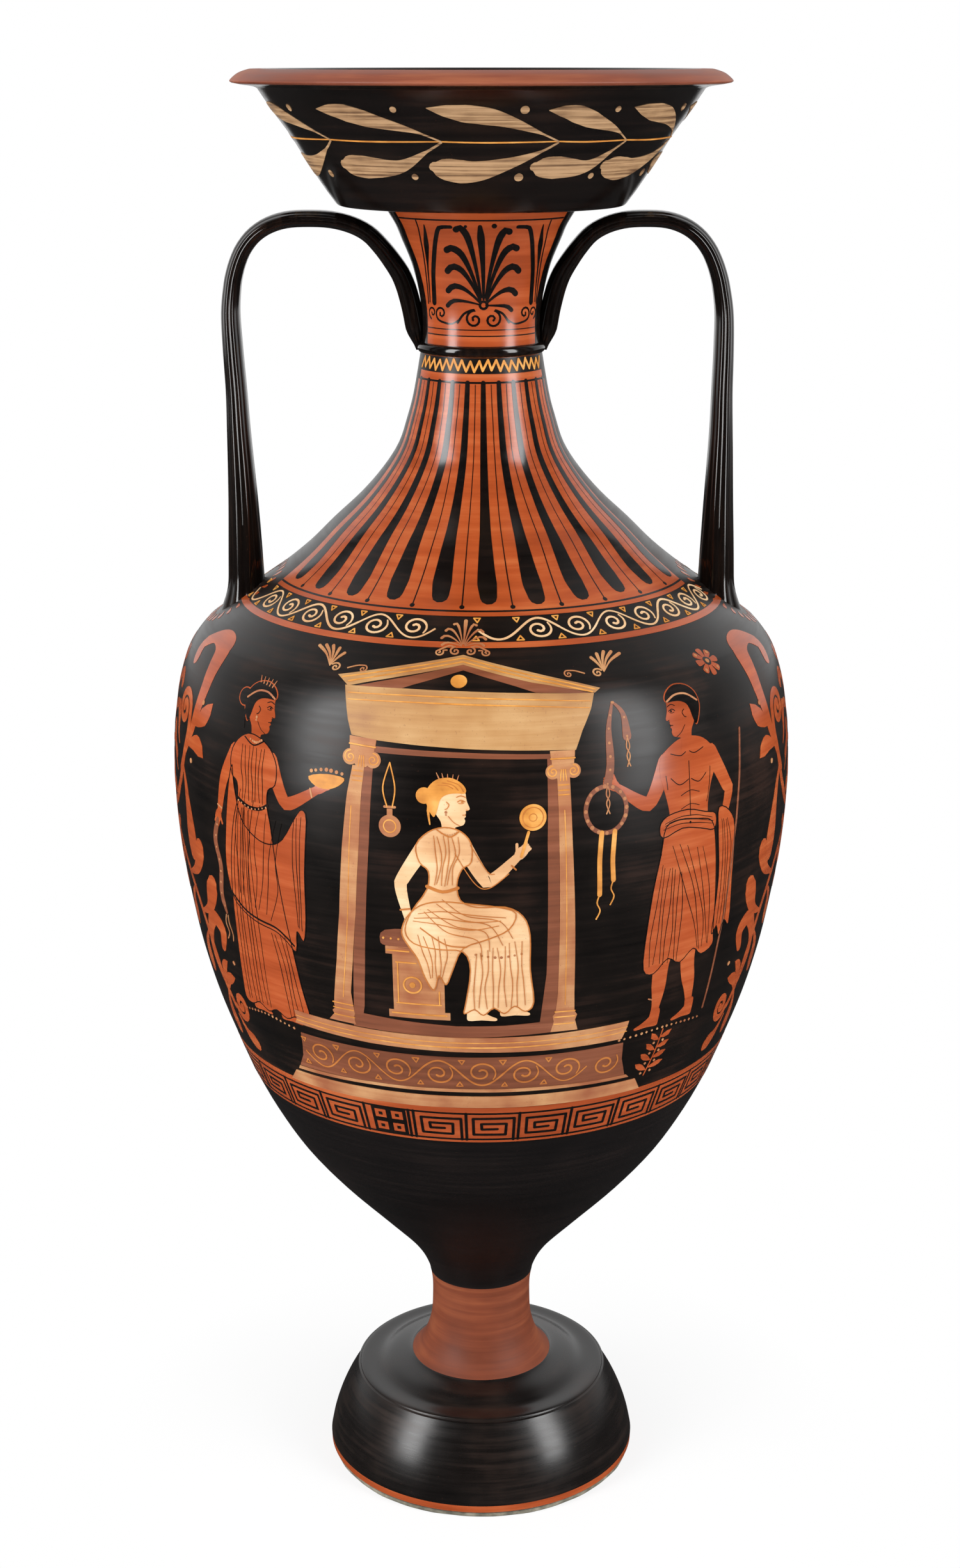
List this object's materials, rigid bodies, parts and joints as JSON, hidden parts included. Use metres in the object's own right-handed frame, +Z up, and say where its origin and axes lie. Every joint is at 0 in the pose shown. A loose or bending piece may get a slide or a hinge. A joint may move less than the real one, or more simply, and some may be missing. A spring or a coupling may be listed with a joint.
{
  "type": "red-figure amphora",
  "caption": "Tall painted clay amphora: ovoid body on a stem and disc foot, slim neck, flaring mouth, and reeded loop handles from shoulder to neck.",
  "frame": {"origin": "on the axis of the vessel, at the surface it stands on", "axes": "+Z up along the axis; the front with the shrine scene faces -Y; the handles lie along X"},
  "size_m": [0.3848, 0.3848, 0.9],
  "materials": {
    "bare_clay": "burnished orange-red fired clay, low sheen",
    "black_gloss": "black to brown-black slip, glossy, slightly streaky from the brush",
    "levelling_ring": "grey-green, dull, worn"
  },
  "bodies": {
    "root": {"levelling_ring": "levelling_ring", "disc_foot": "black_gloss", "stem": "bare_clay", "body_bowl": "black_gloss", "body_belly": "black_gloss", "body_shoulder": "bare_clay", "neck_fillet": "black_gloss", "neck": "bare_clay", "mouth": "black_gloss", "handle_right": "black_gloss", "handle_left": "black_gloss"}
  },
  "joints": []
}
